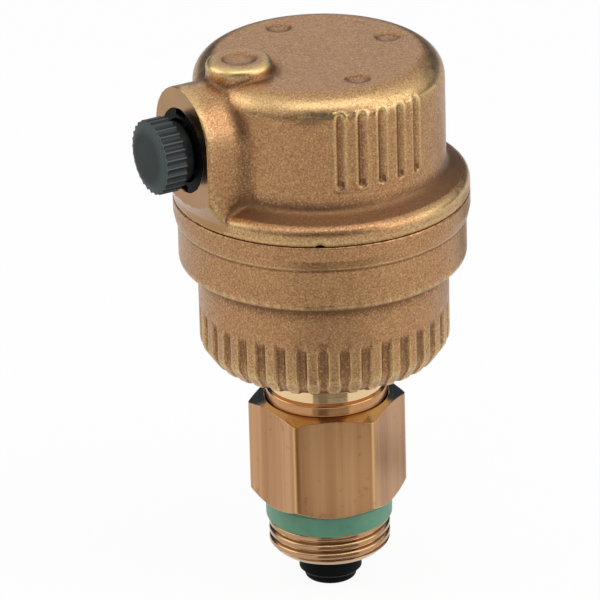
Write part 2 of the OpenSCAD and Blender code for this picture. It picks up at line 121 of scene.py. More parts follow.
# Cap of the side outlet
CAP_FRONT = -ends_of("vent_cap", 0)[0]
CAP_SLEEVE = -ends_of("vent_cap", 0)[1]
CAP_R = ends_of("vent_cap", 1)[1]
Z_OUT = sum(ends_of("vent_cap", 2)) / 2
CAP_BACK, CAP_FLOOR = CAP_FRONT - 3.5, CAP_FRONT - 0.8
CAP_BORE_R, CAP_SLEEVE_R = 3.05, 4.1
CAP_BEVEL, CAP_BEVEL_W, CAP_DOME = 0.5, 1.3, 0.06
CAP_RIBS, CAP_RIB_COLUMNS, CAP_FLUTE = 28, 12, 0.32
CREST_BLUNT, CREST_DROP, CREST_W = 0.02, 0.14, 0.07

# Cover: dome, boss with its machined foot, and the grip flutes with their lips
BOSS_FACE = -ends_of("cover", 0)[0]
BOSS_R, FOOT_SLOPE, Z_FOOT = 7.15, 0.6, Z_PART + 1.4
Z_TOP = Z_PART + 19.8
DOME_R, DOME_ROUND, COVER_BORE_R, COVER_ROOF = 16.9, 3.5, 14.6, 2.2
GRIP_STEP, GRIP_H, Z_GRIP = 10, 11, Z_PART + 6.8 + 5.5
GRIP_DEPTH, GRIP_HALF_W, GRIP_END, GRIP_FOOT_R = 0.42, 0.66, 0.7, 15.9
GRIP_LIP, GRIP_LIP_AT, GRIP_LIP_W = 0.09, 0.82, 0.24
GRIP_SPREAD, GRIP_REACH, GRIP_ROUND = 29, 1.6, 0.08
COVER_GRID, COVER_SOFTENING = 0.2, 7
CREASE_REACH, CREASE_PULL = 0.12, 0.6

# Painted shade in the trough behind the cover's bead
TROUGH_R, Z_TROUGH, Z_BEAD = 18.7, Z_PART + 3.7, Z_PART + 2.2
# Strength, turn in degrees, spread, level, height and least radius of each dark reflection painted on the
# cover, on its side towards the camera
DARK_REFLECTIONS = (
    (1.0, -124, 9, Z_TOP - 3.2, 0.7, 0),
    (1.6, -115, 26, Z_PART + 2.1, 0.5, 18.2))


# Mesh tools

def rounded(corners, step, closed=True):
    """Outline through corners (r, z, fillet), with arcs at the corners and points at most a step apart."""
    points = np.array([c[:2] for c in corners], float)
    line = []
    for i, (_, _, fillet) in enumerate(corners):
        here = points[i]
        if fillet <= 0:
            line.append(here)
            continue
        back, ahead = points[i - 1] - here, points[(i + 1) % len(points)] - here
        long_back, long_ahead = np.linalg.norm(back), np.linalg.norm(ahead)
        back, ahead = back / long_back, ahead / long_ahead
        half = math.acos(np.clip(back @ ahead, -1, 1)) / 2
        # An arc takes up less than half of each side
        cut = min(fillet / math.tan(half), 0.49 * long_back, 0.49 * long_ahead)
        radius = cut * math.tan(half)
        centre = here + (back + ahead) / np.linalg.norm(back + ahead) * radius / math.sin(half)
        first, last = here + back * cut - centre, here + ahead * cut - centre
        start = math.atan2(first[1], first[0])
        sweep = (math.atan2(last[1], last[0]) - start + math.pi) % (2 * math.pi) - math.pi
        count = max(3, math.ceil(abs(sweep) * radius / step), math.ceil(abs(sweep) / math.radians(18)))
        for k in range(count + 1):
            angle = start + sweep * k / count
            line.append(centre + radius * np.array([math.cos(angle), math.sin(angle)]))
    out = []
    for i in range(len(line) if closed else len(line) - 1):
        here, there = line[i], line[(i + 1) % len(line)]
        count = max(1, math.ceil(np.linalg.norm(there - here) / step))
        out += [here + (there - here) * k / count for k in range(count)]
    if not closed:
        out.append(line[-1])
    return np.array(out)


def outline(*runs):
    """Closed outline of runs (step, corners), where each run starts at the end of the one before."""
    return np.concatenate([rounded(corners, step, closed=False)[:-1] for step, corners in runs])


def outward(line):
    """Unit normals of a closed outline that runs upwards along its outside."""
    run = np.roll(line, -1, 0) - np.roll(line, 1, 0)
    run /= np.maximum(np.linalg.norm(run, axis=1), 1e-9)[:, None]
    return np.stack([run[:, 1], -run[:, 0]], 1)


def turned(name, radius, height, angles, closed=True):
    """Mesh of a turned piece: radius and height are grids of [outline point, angle] in millimetres."""
    rows, columns = radius.shape
    points = np.stack([radius * np.cos(angles), radius * np.sin(angles), height], -1)
    index = np.arange(rows * columns).reshape(rows, columns)
    faces = []
    for i in range(rows if closed else rows - 1):
        a, b = index[i], index[(i + 1) % rows]
        faces.append(np.stack([a, np.roll(a, -1), np.roll(b, -1), b], 1))
    mesh = bpy.data.meshes.new(name)
    mesh.from_pydata((points.reshape(-1, 3) * MM).tolist(), [], np.concatenate(faces).tolist())
    if not closed:
        bm = bmesh.new()
        bm.from_mesh(mesh)
        bmesh.ops.remove_doubles(bm, verts=bm.verts, dist=1e-6)
        bm.to_mesh(mesh)
        bm.free()
    mesh.shade_smooth()
    piece = bpy.data.objects.new(name, mesh)
    bpy.context.scene.collection.objects.link(piece)
    return piece


def smoothstep(low, high, value):
    """Smooth rise from 0 at low to 1 at high."""
    share = np.clip((value - low) / (high - low), 0, 1)
    return share * share * (3 - 2 * share)


def hump(value, centre, width):
    """Smooth rise from 0 to 1 and back, highest at the centre."""
    return np.exp(-((value - centre) / width) ** 2)


def soft_min(a, b, radius):
    """The smaller of two sizes, with a round of that radius where they meet."""
    share = np.clip(0.5 + (b - a) / (2 * radius), 0, 1)
    return b + (a - b) * share - radius * share * (1 - share)


def from_middle(angles, count):
    """How far each angle is from the nearest of count even places, in shares of their spacing."""
    return np.abs((angles * count / (2 * math.pi) + 0.5) % 1 - 0.5)


def thread_dip(angles, height):
    """Depth of a right-hand thread below its crests, from 0 at a crest to 1 at a root."""
    turn = height / PITCH - angles / (2 * math.pi)
    return (0.5 - 0.5 * np.cos(2 * math.pi * turn)) ** 3


def numbers(items, name, width, kind=np.float64):
    """An attribute of all points, edges or faces of a mesh, one row each."""
    out = np.empty(len(items) * width, kind)
    items.foreach_get(name, out)
    return out.reshape(-1, width)


def neighbours(mesh):
    """Both ends of every edge, taken both ways round, and how many edges meet at each point."""
    edges = numbers(mesh.edges, "vertices", 2, np.int64)
    ends = np.concatenate([edges[:, 0], edges[:, 1]])
    others = np.concatenate([edges[:, 1], edges[:, 0]])
    return ends, others, np.bincount(ends, minlength=len(mesh.vertices)).clip(1)


def mean_of_neighbours(values, ends, others, count):
    """Mean of each point's neighbours, column by column."""
    columns = [np.bincount(ends, values[others, k], minlength=len(values)) for k in range(values.shape[1])]
    return np.stack(columns, 1) / count[:, None]


def store_edge(mesh, values):
    """Keeps 'edge' on each point: above 0.5 on rubbed outer edges and painted highlights, below it in
    hollows and painted shade.
    """
    layer = mesh.attributes.new("edge", "FLOAT", "POINT")
    layer.data.foreach_set("value", np.asarray(values, np.float32).ravel())


CLOSE_ROUNDS, WIDE_ROUNDS = 3, 40
EDGE_SHARE, HOLLOW_SHARE = 1.6, 4


def mark_edges(piece, gilt, wear_and_painted_light=0):
    """Marks outer edges and hollows from how a piece's surface bends, close by and in a wider ring.

    gilt is how much a wide bulge counts as an edge, and the last argument, of wear with painted light and
    shade, is added to the result.
    """
    mesh = piece.data
    co = numbers(mesh.vertices, "co", 3)
    ends, others, count = neighbours(mesh)
    normal = numbers(mesh.vertices, "normal", 3)
    bulge = ((co - mean_of_neighbours(co, ends, others, count)) * normal).sum(1)
    length = np.linalg.norm(co[ends] - co[others], axis=1)
    spacing = np.bincount(ends, length, minlength=len(co)) / count
    curve = np.clip(bulge / np.maximum(spacing, 1e-9) ** 2 * MM, -2, 2)[:, None]
    for _ in range(CLOSE_ROUNDS):
        curve = mean_of_neighbours(curve, ends, others, count)
    wide = curve
    for _ in range(WIDE_ROUNDS):
        wide = mean_of_neighbours(wide, ends, others, count)
    curve, wide = curve[:, 0], wide[:, 0]
    bend = EDGE_SHARE * curve + np.where(wide < 0, HOLLOW_SHARE, gilt) * wide
    store_edge(mesh, 0.5 + 0.5 * np.tanh(bend) + wear_and_painted_light)


def lay_finishes(piece, places):
    """Gives each face its place in the piece's list of materials."""
    piece.data.polygons.foreach_set("material_index", np.asarray(places).ravel().astype(np.int32))


# Materials

def linear(code):
    """Linear colour of an sRGB hex code."""
    parts = [int(code[i:i + 2], 16) / 255 for i in (1, 3, 5)]
    return tuple(c / 12.92 if c <= 0.04045 else ((c + 0.055) / 1.055) ** 2.4 for c in parts) + (1,)


def per_mm(size):
    """Texture scale whose pattern repeats about every size millimetres."""
    return 1 / (size * MM)


def add_node(tree, kind, sockets=(), **settings):
    """Adds a shader node with its settings, and sets or links its sockets."""
    made = tree.nodes.new("ShaderNode" + kind)
    for key, value in settings.items():
        setattr(made, key, value)
    for key, value in dict(sockets).items():
        if isinstance(value, bpy.types.NodeSocket):
            tree.links.new(value, made.inputs[key])
        else:
            made.inputs[key].default_value = value
    return made


def new_material(name):
    """A material of that name with an empty node tree."""
    material = bpy.data.materials.new(name)
    material.use_nodes = True
    tree = material.node_tree
    tree.nodes.clear()
    return material, tree


def finish_material(tree, **sockets):
    """Closes a material with a Principled shader; words in socket names are joined by underscores."""
    shader = add_node(tree, "BsdfPrincipled", {k.replace("_", " "): v for k, v in sockets.items()})
    add_node(tree, "OutputMaterial", {"Surface": shader.outputs[0]})


def stamped_brass():
    """Hot-stamped brass, shot blasted: matt and finely grained, yellower on edges, and darker in hollows
    from dirt and painted shade.
    """
    material, tree = new_material("brass_stamped_blasted")
    place = add_node(tree, "TexCoord").outputs["Object"]
    edge = add_node(tree, "Attribute", attribute_name="edge").outputs["Fac"]
    # Blast grain is finer than a pixel on the real valve, and drawn as coarse as it needs to show
    grain = add_node(tree, "TexNoise", {"Vector": place, "Scale": per_mm(0.3), "Detail": 2,
                                        "Roughness": 0.6})
    fleck = add_node(tree, "TexNoise", {"Vector": place, "Scale": per_mm(0.22), "Detail": 1})
    dents = add_node(tree, "TexNoise", {"Vector": place, "Scale": per_mm(0.8), "Detail": 2})
    cloud = add_node(tree, "TexNoise", {"Vector": place, "Scale": per_mm(6), "Detail": 3})
    tone = add_node(tree, "Mix", {0: cloud.outputs[0], 6: linear("#A07652"), 7: linear("#AD825C")},
                    data_type="RGBA")
    speck = add_node(tree, "MapRange", {"Value": grain.outputs[0], "From Min": 0.36, "From Max": 0.64})
    grainy = add_node(tree, "Mix", {0: speck.outputs[0], 6: linear("#855F45"), 7: linear("#C69B6C")},
                      data_type="RGBA")
    skin = add_node(tree, "Mix", {0: 0.5, 6: tone.outputs[2], 7: grainy.outputs[2]}, data_type="RGBA")
    bright = add_node(tree, "MapRange", {"Value": fleck.outputs[0], "From Min": 0.58, "From Max": 0.68,
                                         "To Max": 0.5})
    flecked = add_node(tree, "Mix", {0: bright.outputs[0], 6: skin.outputs[2], 7: linear("#DAB47C")},
                       data_type="RGBA")
    worn = add_node(tree, "Math", {0: fleck.outputs[0], 1: 0.35, 2: edge}, operation="MULTIPLY_ADD")
    # Hollows turn dark brown: dirt, and painted shade where less light reaches into them
    hollow = add_node(tree, "MapRange", {"Value": worn.outputs[0], "From Min": 0.64, "From Max": 0.38,
                                         "To Max": 0.75})
    dirt_and_shade = add_node(tree, "Mix", {0: hollow.outputs[0], 6: flecked.outputs[2], 7: linear("#674832")},
                     data_type="RGBA")
    rub_and_highlight_share = add_node(tree, "MapRange", {"Value": worn.outputs[0], "From Min": 0.76, "From Max": 0.98,
                                      "To Max": 0.8})
    rub_and_highlight = add_node(tree, "Mix", {0: rub_and_highlight_share.outputs[0], 6: dirt_and_shade.outputs[2], 7: linear("#DABF86")},
                      data_type="RGBA")
    rough = add_node(tree, "MapRange", {"Value": dents.outputs[0], "From Min": 0.3, "From Max": 0.7,
                                        "To Min": 0.3, "To Max": 0.42})
    dull = add_node(tree, "Math", {0: hollow.outputs[0], 1: 0.2, 2: rough.outputs[0]},
                    operation="MULTIPLY_ADD")
    relief = add_node(tree, "Math", {0: grain.outputs[0], 1: dents.outputs[0]}, operation="ADD")
    bump = add_node(tree, "Bump", {"Height": relief.outputs[0], "Strength": 0.6, "Distance": 0.022 * MM})
    finish_material(tree, Base_Color=rub_and_highlight.outputs[2], Metallic=1.0, Roughness=dull.outputs[0],
                    Normal=bump.outputs[0])
    return material


def machined_brass(name, dark, light, dull):
    """Machined brass: fine level tool marks and a clear sheen, with an even clouding."""
    material, tree = new_material(name)
    place = add_node(tree, "TexCoord").outputs["Object"]
    # Tool marks run level round the valve, and are drawn coarser than the real feed so that they show
    stretch = add_node(tree, "Mapping", {"Vector": place, "Scale": (0.02, 0.02, 1)})
    rings = add_node(tree, "TexNoise", {"Vector": stretch.outputs[0], "Scale": per_mm(0.12), "Detail": 2})
    cloud = add_node(tree, "TexNoise", {"Vector": place, "Scale": per_mm(4), "Detail": 2})
    tone = add_node(tree, "Mix", {0: cloud.outputs[0], 6: linear(dark), 7: linear(light)}, data_type="RGBA")
    rough = add_node(tree, "MapRange", {"Value": rings.outputs[0], "To Min": dull - 0.08,
                                        "To Max": dull + 0.08})
    bump = add_node(tree, "Bump", {"Height": rings.outputs[0], "Strength": 0.25, "Distance": 0.02 * MM})
    finish_material(tree, Base_Color=tone.outputs[2], Metallic=1.0, Roughness=rough.outputs[0],
                    Normal=bump.outputs[0])
    return material


def drawn_brass():
    """Drawn hexagon bar: warm brass with lengthwise drawing streaks, a few nicks, and a highlight painted
    bright along the corners.
    """
    material, tree = new_material("brass_drawn_bar")
    place = add_node(tree, "TexCoord").outputs["Object"]
    edge = add_node(tree, "Attribute", attribute_name="edge").outputs["Fac"]
    # Streaks run along the bar, and are drawn wider than the real ones so that they show
    stretch = add_node(tree, "Mapping", {"Vector": place, "Scale": (1, 1, 0.02)})
    streaks = add_node(tree, "TexNoise", {"Vector": stretch.outputs[0], "Scale": per_mm(0.9), "Detail": 4,
                                          "Roughness": 0.6})
    bands = add_node(tree, "TexNoise", {"Vector": stretch.outputs[0], "Scale": per_mm(3.6), "Detail": 1})
    nicks = add_node(tree, "TexNoise", {"Vector": place, "Scale": per_mm(1.6), "Detail": 3})
    tone = add_node(tree, "Mix", {0: streaks.outputs[0], 6: linear("#A0754F"), 7: linear("#D4A678")},
                    data_type="RGBA")
    band = add_node(tree, "MapRange", {"Value": bands.outputs[0], "From Min": 0.4, "From Max": 0.62,
                                       "To Max": 0.65})
    warm = add_node(tree, "Mix", {0: band.outputs[0], 6: tone.outputs[2], 7: linear("#A06F48")},
                    data_type="RGBA")
    # The edge mark paints a bright highlight along the hexagon's corners
    rub_and_highlight_share = add_node(tree, "MapRange", {"Value": edge, "From Min": 0.55, "From Max": 0.9, "To Max": 0.9})
    bright = add_node(tree, "Mix", {0: rub_and_highlight_share.outputs[0], 6: warm.outputs[2], 7: linear("#DDB478")},
                      data_type="RGBA")
    spot = add_node(tree, "MapRange", {"Value": nicks.outputs[0], "From Min": 0.64, "From Max": 0.76,
                                       "To Max": 0.5})
    marked = add_node(tree, "Mix", {0: spot.outputs[0], 6: bright.outputs[2], 7: linear("#7A5738")},
                      data_type="RGBA")
    rough = add_node(tree, "MapRange", {"Value": streaks.outputs[0], "To Min": 0.22, "To Max": 0.36})
    bump = add_node(tree, "Bump", {"Height": streaks.outputs[0], "Strength": 0.3, "Distance": 0.03 * MM})
    finish_material(tree, Base_Color=marked.outputs[2], Metallic=1.0, Roughness=rough.outputs[0],
                    Normal=bump.outputs[0])
    return material


def drawn_wire():
    """Stainless spring wire, drawn: bright, with a fine unevenness in its shine."""
    material, tree = new_material("stainless_drawn_wire")
    place = add_node(tree, "TexCoord").outputs["Object"]
    # Marks of the drawing die, drawn coarser than the real ones so that they would show
    marks = add_node(tree, "TexNoise", {"Vector": place, "Scale": per_mm(0.15), "Detail": 3})
    rough = add_node(tree, "MapRange", {"Value": marks.outputs[0], "To Min": 0.2, "To Max": 0.4})
    finish_material(tree, Base_Color=linear("#C4C6C8"), Metallic=1.0, Roughness=rough.outputs[0])
    return material


def moulded(name, dark, light, rough, grit=0.35, depth=0.02, sheen=0.5, rub_and_highlight=None):
    """Moulded plastic or rubber: a fine eroded tool texture, slight clouding, and where a colour is given,
    edges painted paler as highlights.
    """
    material, tree = new_material(name)
    place = add_node(tree, "TexCoord").outputs["Object"]
    cloud = add_node(tree, "TexNoise", {"Vector": place, "Scale": per_mm(3.5), "Detail": 3})
    # Grit of the tool, drawn coarser than the real one so that it shows
    grain = add_node(tree, "TexNoise", {"Vector": place, "Scale": per_mm(grit), "Detail": 2})
    tone = add_node(tree, "Mix", {0: cloud.outputs[0], 6: linear(dark), 7: linear(light)}, data_type="RGBA")
    gloss = add_node(tree, "MapRange", {"Value": grain.outputs[0], "To Min": rough - 0.08,
                                        "To Max": rough + 0.08})
    bump = add_node(tree, "Bump", {"Height": grain.outputs[0], "Strength": 0.3, "Distance": depth * MM})
    # Edges painted paler as highlights, by the 'edge' mark
    if rub_and_highlight:
        edge = add_node(tree, "Attribute", attribute_name="edge").outputs["Fac"]
        rub_and_highlight_share = add_node(tree, "MapRange", {"Value": edge, "From Min": 0.5, "From Max": 1.0})
        tone = add_node(tree, "Mix", {0: rub_and_highlight_share.outputs[0], 6: tone.outputs[2], 7: linear(rub_and_highlight)},
                        data_type="RGBA")
    finish_material(tree, Base_Color=tone.outputs[2], Roughness=gloss.outputs[0], Normal=bump.outputs[0],
                    Specular_IOR_Level=sheen)
    return material


STAMPED = stamped_brass()
# Faces turned clean and pale
TURNED = machined_brass("brass_turned", "#DABA8E", "#EACE9F", 0.12)
# Milled boss face: browner, with a softer mirror
MILLED = machined_brass("brass_milled", "#9A7450", "#AC8658", 0.24)
# Chamfers of the hexagon: pale and nearly a mirror
CHAMFERED = machined_brass("brass_chamfered", "#BE9E78", "#D0B28A", 0.14)
# Neck thread: warm and coppery
THREADED = machined_brass("brass_threaded", "#B08058", "#C6966A", 0.15)
# Inlet thread: rolled, duller
ROLLED = machined_brass("brass_rolled", "#A88360", "#BE9A74", 0.18)
DRAWN = drawn_brass()
# Fibre-filled polyamide, moulded: slate grey with a satin sheen, and a highlight painted paler on the
# crests of the ribs
SLATE = moulded("polyamide_moulded_slate", "#161C1D", "#1F2526", 0.3, sheen=0.28, rub_and_highlight="#566060")
# The cap's face, from a spark-eroded tool: quite matt, with a highlight painted paler on its bevel
CAP_FACE = moulded("polyamide_moulded_matt", "#2A302F", "#333938", 0.5, grit=0.2, sheen=0.08,
                   rub_and_highlight="#485250")
# Acetal, moulded: near black, slightly waxy
BLACK = moulded("acetal_moulded_black", "#040606", "#090B0B", 0.5, sheen=0.06)
# Nitrile rubber, moulded: black and matt
RUBBER = moulded("nitrile_moulded_black", "#080A0A", "#0E1010", 0.6, sheen=0.06)
# Polyethylene sealing ring, moulded: milky green with a soft sheen
GREEN = moulded("polyethylene_moulded_green", "#3A6B54", "#689C80", 0.42, grit=0.8, depth=0.03, sheen=0.4)
# Polypropylene, moulded: natural milky white
WHITE = moulded("polypropylene_moulded_natural", "#D9D5C6", "#E8E5DA", 0.42)
# Silicone, moulded: brick red and matt
SILICONE = moulded("silicone_moulded_red", "#7A3529", "#8C4435", 0.6)
WIRE = drawn_wire()


# Pieces

def dress(piece, body, slot, *materials, stands_for=()):
    """Gives a piece its materials and body, and hides the nodes that it stands for. The slot is not used.
    """
    for material in materials:
        piece.data.materials.append(material)
    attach(piece, body)
    if stands_for:
        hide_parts(*stands_for)
    return piece


def flute_angles():
    """Angles of the cup's grid, closer together at the edges of each flute."""
    pitch = 2 * math.pi / FLUTES
    half = FLUTE_W / 2 / CUP_R
    share = np.array(FLUTE_GRID) * half
    share = np.concatenate([-share[:0:-1], share])
    return (np.arange(FLUTES)[:, None] * pitch + share[None, :]).ravel()


def make_vent_body():
    """Fluted cup with its bands, and the threaded neck below it."""
    neck_end = [
        (NECK_BORE_R, Z_NECK, 0), (NECK_END_R, Z_NECK, 0.3), (NECK_END_R, Z_GROOVE, 0.05),
        (GROOVE_R, Z_GROOVE, 0.1), (GROOVE_R, Z_GROOVE_TOP, 0.1), (NECK_END_R, Z_GROOVE_TOP, 0.05),
        (NECK_END_R, Z_RUNOUT, 0.05), (RUNOUT_R, Z_RUNOUT, 0.05), (THREAD_R, Z_THREAD_LOW, 0)]
    neck_thread = [
        (THREAD_R, Z_THREAD_LOW, 0), (THREAD_R, Z_THREAD_HIGH, 0.3), (NECK_R, Z_PLAIN, 0.06),
        (NECK_R, Z_PLAIN + 0.5, 0)]
    cup = [
        (NECK_R, Z_PLAIN + 0.5, 0), (NECK_R, Z_CUP, 0.35), (CUP_R, Z_CUP, CUP_ROUND), (CUP_R, Z_BAND, 0.9),
        (BAND_R, Z_BAND, 1.6), (BAND_R, Z_RIM - 1, 0)]
    band_step = [
        (BAND_R, Z_RIM - 1, 0), (BAND_R, Z_RIM - 0.45, 0.06), (BAND_R + BAND_STEP, Z_RIM - 0.05, 0.1),
        (RIM_R, Z_RIM + 1.2, 0.6), (RIM_R, Z_RIM + 1.6, 0)]
    rim = [(RIM_R, Z_RIM + 1.6, 0), (RIM_R, Z_PART - 0.5, 0)]
    rim_edge = [(RIM_R, Z_PART - 0.5, 0), (RIM_R, Z_PART, 0.25), (RIM_SEAT_R, Z_PART, 0)]
    seat = [(RIM_SEAT_R, Z_PART, 0), (LEDGE_R, Z_PART, 0)]
    inside = [
        (LEDGE_R, Z_PART, 0), (LEDGE_R, Z_LEDGE, 0.1), (CUP_BORE_R, Z_LEDGE, 0.2),
        (CUP_BORE_R, Z_CUP_FLOOR, 0.6), (NECK_BORE_R, Z_CUP_FLOOR, 0.3), (NECK_BORE_R, Z_NECK, 0)]
    line = outline((0.5, neck_end), (0.09, neck_thread), (0.25, cup), (0.1, band_step), (0.25, rim),
                   (0.08, rim_edge), (0.5, seat), (1.5, inside))
    normal = outward(line)
    out_share, up_share = normal[:, 0, None], normal[:, 1, None]
    angles = flute_angles()
    r, z = line[:, 0, None], line[:, 1, None]
    # Flutes, each a little shallower or deeper than the next
    side = r * np.sin(from_middle(angles, FLUTES) * 2 * math.pi / FLUTES)[None, :]
    outer = (r > 12) & (z < FLUTE_TOP + 2) & (out_share - up_share > 0.2)
    flute = np.round(angles * FLUTES / (2 * math.pi))
    uneven = 1 + 0.1 * np.sin(7.3 * flute) * np.cos(2.1 * flute)
    across = uneven * (1 - smoothstep(FLUTE_FLOOR, FLUTE_SIDE, side))
    along = 1 - smoothstep(FLUTE_FADE_LOW, FLUTE_FADE_HIGH, z)
    inset = np.where(outer, FLUTE_DEPTH * across * along * smoothstep(FLUTE_END_R, FLUTE_FULL_R, r), 0)
    radius = r - inset * out_share
    height = z - inset * up_share
    # The ribs' lower ends are faced off on a cone
    reach = ((radius - CUP_R + CUP_ROUND) * math.cos(FACING_TURN)
             - (height - Z_CUP - CUP_ROUND) * math.sin(FACING_TURN)) - CUP_ROUND + FACING_CUT
    faced = outer & (reach > 0)
    radius = np.where(faced, radius - reach / math.cos(FACING_TURN), radius)
    on_thread = (r > 7) & (r < 8.5) & (z > Z_RUNOUT + 0.05) & (z < Z_PLAIN + 0.02)
    fade = smoothstep(Z_RUNOUT, Z_RUNOUT + 1, z) * (1 - smoothstep(Z_HEX_TOP - 1.2, Z_HEX_TOP - 0.2, z))
    radius = np.where(on_thread, radius - THREAD_DEPTH * fade * thread_dip(angles[None, :], z), radius)
    piece = turned("vent_cup", radius, height, angles)
    # Wear and painted light: faced ribs rubbed paler, partly a painted reflection; a painted highlight on
    # the rim's step and painted shadow under it
    step = (r > BAND_R - 0.1) * (0.16 * hump(z, Z_RIM, 0.14) - 0.22 * hump(z, Z_RIM - 0.5, 0.14))
    # A dark seam, and painted shade on the band's lower edge
    seam = hump(z, Z_PART, 0.3) * (r > RIM_R - 0.7)
    band_shade = hump(z, Z_BAND + 0.3, 0.5) * (r > BAND_R - 1.3)
    mark_edges(piece, 0.3, (0.08 * faced + step - 0.35 * seam - 0.14 * band_shade).ravel())
    # Neck and underside are turned clean, and the thread has a finish of its own
    on_neck = (r < 12) | (z < Z_CUP + 0.05) & (r < 14)
    lay_finishes(piece, np.where(on_neck & (z < Z_PLAIN), 2, on_neck) + 0 * angles)
    return dress(piece, "vent", "cast_brass", STAMPED, TURNED, THREADED, stands_for=["vent_body"])


def make_check_body():
    """Hexagon with the inlet thread below it, bored for the shutter and its spring."""
    hex_r = HEX_AF / 2 / math.cos(math.pi / 6)
    z_foot = Z_HEX + (hex_r - HEX_FOOT) * math.tan(FOOT_CHAMFER_SLOPE)
    z_crown = Z_HEX_TOP - (hex_r - HEX_CROWN) * math.tan(CROWN_SLOPE)
    inlet_thread = [(THREAD_R - 1, Z_END, 0), (THREAD_R, Z_END + 1, 0.1), (THREAD_R, Z_THREAD_TOP, 0)]
    undercut = [(THREAD_R, Z_THREAD_TOP, 0), (UNDERCUT_R, Z_THREAD_TOP, 0.05), (UNDERCUT_R, Z_HEX, 0.05),
                (HEX_FOOT, Z_HEX, 0)]
    foot_chamfer = [(HEX_FOOT, Z_HEX, 0), (hex_r, z_foot, 0)]
    flats = [(hex_r, z_foot, 0), (hex_r, z_crown, 0)]
    crown_chamfer = [(hex_r, z_crown, 0), (FEMALE_R + LIP_W, Z_HEX_TOP, 0.04),
                     (FEMALE_R, Z_HEX_TOP - LIP_H, 0)]
    bores = [
        (FEMALE_R, Z_HEX_TOP - LIP_H, 0), (FEMALE_R, Z_FEMALE, 0.1), (PLAIN_BORE_R, Z_FEMALE, 0.1),
        (PLAIN_BORE_R, Z_PLAIN_BORE, 0.1), (SPRING_BORE_R, Z_PLAIN_BORE, 0.1),
        (SPRING_BORE_R, Z_SPRING_SEAT, 0.2), (WATERWAY_R, Z_SPRING_SEAT, 0.1), (WATERWAY_R, Z_SEAT, 0.05),
        (SEAT_R, Z_SEAT, 0.05), (SEAT_R, Z_END, 0.1), (THREAD_R - 1, Z_END, 0)]
    line = outline((0.08, inlet_thread), (0.5, undercut), (0.08, foot_chamfer), (0.6, flats),
                   (0.07, crown_chamfer), (1.0, bores))
    angles = np.linspace(0, 2 * math.pi, HEX_COLUMNS, endpoint=False)
    r, z = line[:, 0, None], line[:, 1, None]
    # Degrees from the middle of the nearest flat
    wedge = (np.degrees(angles) - HEX_TURN) % 60 - 30
    flat = HEX_AF / 2 / np.cos(np.radians(wedge))
    flat = soft_min(flat, np.full_like(flat, hex_r - HEX_CORNER_CUT), HEX_CORNER_ROUND)[None, :]
    on_hex = (z > Z_HEX - 0.01) & (r > FEMALE_R + 0.05)
    radius = np.where(on_hex, soft_min(r + CHAMFER_SKIN, flat, CHAMFER_ROUND), r)
    on_thread = (z < Z_THREAD_TOP - 0.01) & (r > UNDERCUT_R + 0.05)
    root = THREAD_R - THREAD_DEPTH * thread_dip(angles[None, :], z)
    radius = np.where(on_thread, np.minimum(radius, root), radius)
    piece = turned("check_valve_hexagon", radius, z + 0 * angles[None, :], angles)
    # A painted highlight along each corner of the flats
    corner = hump(np.abs(wedge), 30, 1.2)[None, :]
    between = smoothstep(z_foot - 0.4, z_foot, z) * (1 - smoothstep(z_crown, z_crown + 0.3, z))
    store_edge(piece.data, 0.5 + 0.34 * corner * on_hex * between)
    lay_finishes(piece, np.where(on_thread, 2, ~on_hex | (r + CHAMFER_SKIN < flat)))
    return dress(piece, "check_valve", "drawn_brass", DRAWN, CHAMFERED, ROLLED,
                 stands_for=["check_valve_body"])


def make_sealing_ring():
    """Tapered sealing ring between the hexagon and the inlet thread."""
    line = rounded([
        (UNDERCUT_R, 0.0, 0.1), (RING_FOOT_R, 0.0, 0.25), (RING_R, Z_RING_TAPER, 0.3),
        (RING_TOP_R, Z_RING_TOP, 0.15), (UNDERCUT_R, Z_RING_TOP, 0.1)], 0.2)
    angles = np.linspace(0, 2 * math.pi, 160, endpoint=False)
    piece = turned("inlet_ring", line[:, 0, None] + 0 * angles, line[:, 1, None] + 0 * angles, angles)
    return dress(piece, "check_valve", "green_plastic", GREEN, stands_for=["sealing_ring"])


